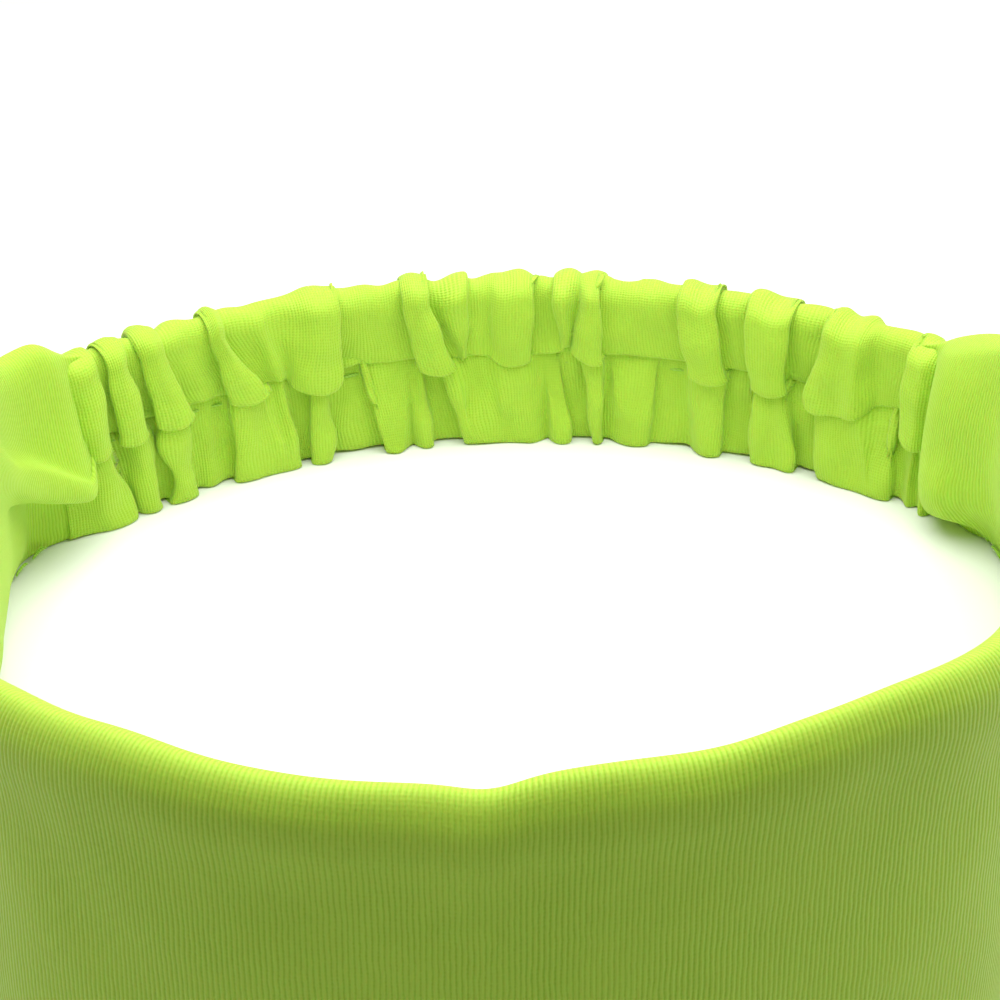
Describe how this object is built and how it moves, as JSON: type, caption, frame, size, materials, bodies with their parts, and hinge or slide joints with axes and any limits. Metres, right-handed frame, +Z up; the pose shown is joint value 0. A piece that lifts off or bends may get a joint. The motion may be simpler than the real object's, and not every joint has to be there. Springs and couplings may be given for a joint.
{
  "type": "sports headband",
  "caption": "Soft sports headband: a wide folded rib-knit front band that narrows towards a gathered elastic casing at the back of the head.",
  "frame": {"origin": "centre of the base on the surface that the headband stands on", "axes": "+Z up, +Y from the forehead to the back of the head, +X to the right seen from the front band"},
  "size_m": [0.1482, 0.1768, 0.0665],
  "materials": {
    "rib_knit": "fine lime green rib knit of nylon and elastane, matt with a faint sheen",
    "thread": "lime green polyester sewing thread",
    "elastic_webbing": "white woven elastic"
  },
  "bodies": {
    "root": {"front_band": "rib_knit", "front_band_seam_thread": "thread", "back_casing": "rib_knit", "casing_seam_thread": "thread", "elastic": "elastic_webbing", "elastic_tack_left": "thread", "elastic_tack_right": "thread", "join_thread_left": "thread", "join_thread_right": "thread"}
  },
  "joints": []
}
